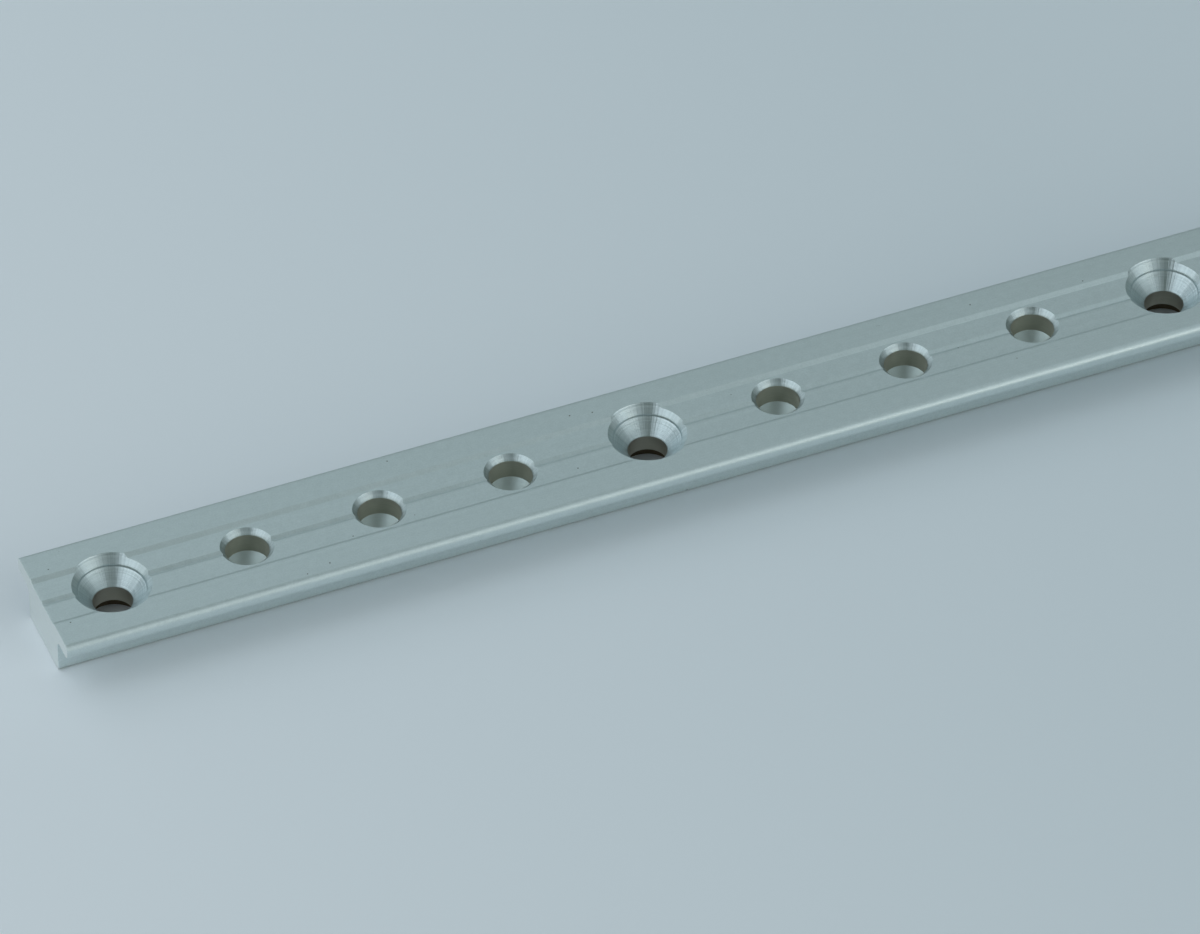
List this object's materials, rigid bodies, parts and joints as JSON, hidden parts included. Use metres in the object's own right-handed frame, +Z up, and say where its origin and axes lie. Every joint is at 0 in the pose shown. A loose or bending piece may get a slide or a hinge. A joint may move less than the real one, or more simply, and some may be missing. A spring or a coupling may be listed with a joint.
{
  "type": "t-section track rail",
  "caption": "Straight T-section track rail with countersunk screw holes, blind stop holes between them, a sunk middle band and a fine centre line.",
  "frame": {"origin": "centre of the foot's face, midway along the rail", "axes": "+X along the rail, away from the end whose first hole is a screw hole; +Z up from the foot to the track face"},
  "size_m": [0.6, 0.025, 0.01],
  "materials": {
    "anodised_aluminium": "satin clear anodised"
  },
  "bodies": {
    "root": {"track_rail": "anodised_aluminium"}
  },
  "joints": []
}
